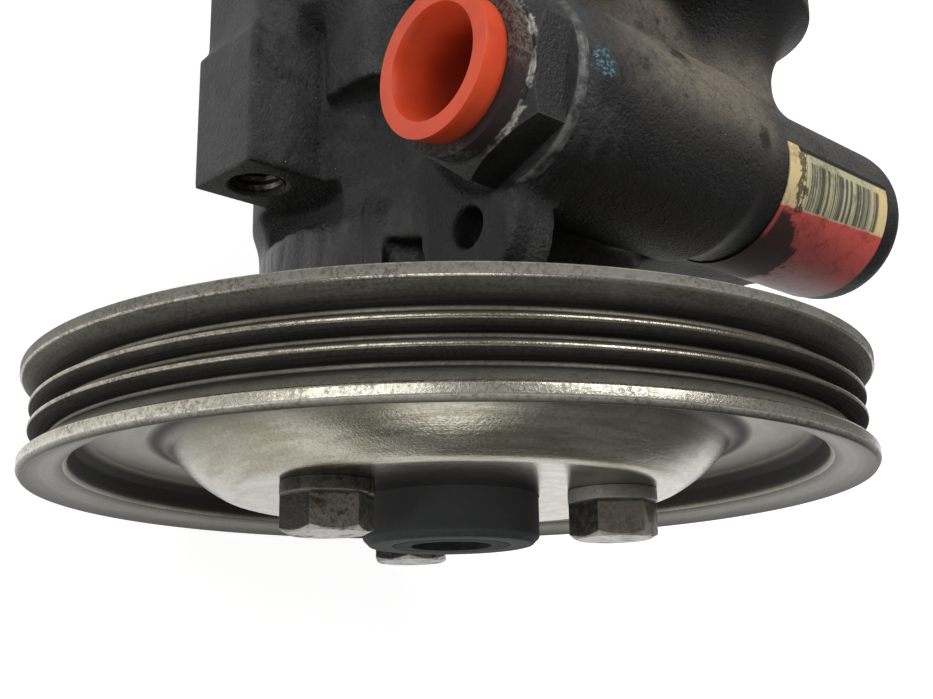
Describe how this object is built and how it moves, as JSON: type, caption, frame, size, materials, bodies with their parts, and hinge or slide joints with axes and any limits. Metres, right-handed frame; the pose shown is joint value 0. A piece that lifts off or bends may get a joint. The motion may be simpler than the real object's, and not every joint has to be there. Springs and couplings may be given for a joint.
{
  "type": "power steering pump",
  "caption": "Belt-driven vane pump in a black cast housing with a grooved steel pulley, a capped outlet union and a flow control valve.",
  "frame": {"origin": "on the shaft's axis, in the plane of the two mounting ears' front faces, midway between their threaded holes", "axes": "-Y along the shaft, from the pump body out through the pulley; X along the valve housing, with the outlet union at -X; +Z from the shaft to the valve housing"},
  "size_m": [0.1438, 0.1415, 0.1449],
  "materials": {
    "housing_iron": "black paint over cast iron, dusty and worn",
    "pulley_steel": "bare steel, polished by the belt, light rust",
    "hub_steel": "blackened",
    "bolt_steel": "worn zinc, dirty",
    "shaft_steel": "ground steel, dull",
    "bush_bronze": "plain bearing bronze",
    "seal_rubber": "matt",
    "ground_steel": "ground",
    "spring_steel": "drawn wire",
    "ring_rubber": "matt",
    "union_steel": "black coating, rusted on its end face",
    "cap_plastic": "moulded, slightly glossy",
    "label_film": "printed film, worn",
    "pipe_steel": "zinc plated"
  },
  "bodies": {
    "pump": {"housing": "housing_iron", "front_bush": "bush_bronze", "shaft_seal": "seal_rubber", "thrust_plate": "ground_steel", "cam_ring": "ground_steel", "pressure_plate": "ground_steel", "dowel_pins": "ground_steel", "plate_spring": "spring_steel", "end_cover": "ground_steel", "end_cover_o_ring": "ring_rubber", "retaining_ring": "spring_steel", "outlet_union": "union_steel", "union_o_ring": "ring_rubber", "flow_spring": "spring_steel", "transport_cap": "cap_plastic", "label": "label_film", "inlet_pipe": "pipe_steel"},
    "shaft": {"drive_shaft": "shaft_steel", "pulley_hub": "hub_steel", "pulley": "pulley_steel", "pulley_bolts": "bolt_steel", "spring_washers": "bolt_steel", "rotor": "ground_steel", "vanes": "ground_steel", "shaft_snap_ring": "spring_steel"},
    "spool": {"flow_spool": "ground_steel", "relief_plug": "ground_steel", "relief_spring": "spring_steel"},
    "relief": {"relief_ball": "ground_steel"}
  },
  "joints": [
    {"name": "shaft_spin", "type": "hinge", "parent": "pump", "child": "shaft", "pos_m": [0, 0, 0], "axis": [0, 1, 0], "continuous": true},
    {"name": "flow_valve_slide", "type": "slide", "parent": "pump", "child": "spool", "axis": [1, 0, 0], "range_m": [0, 0.009], "stiffness_N_per_m": 5000, "springref_m": -0.008, "deforming": ["flow_spring"]},
    {"name": "relief_slide", "type": "slide", "parent": "spool", "child": "relief", "axis": [1, 0, 0], "range_m": [0, 0.0015], "stiffness_N_per_m": 15000, "springref_m": -0.0024, "deforming": ["relief_spring"]}
  ]
}
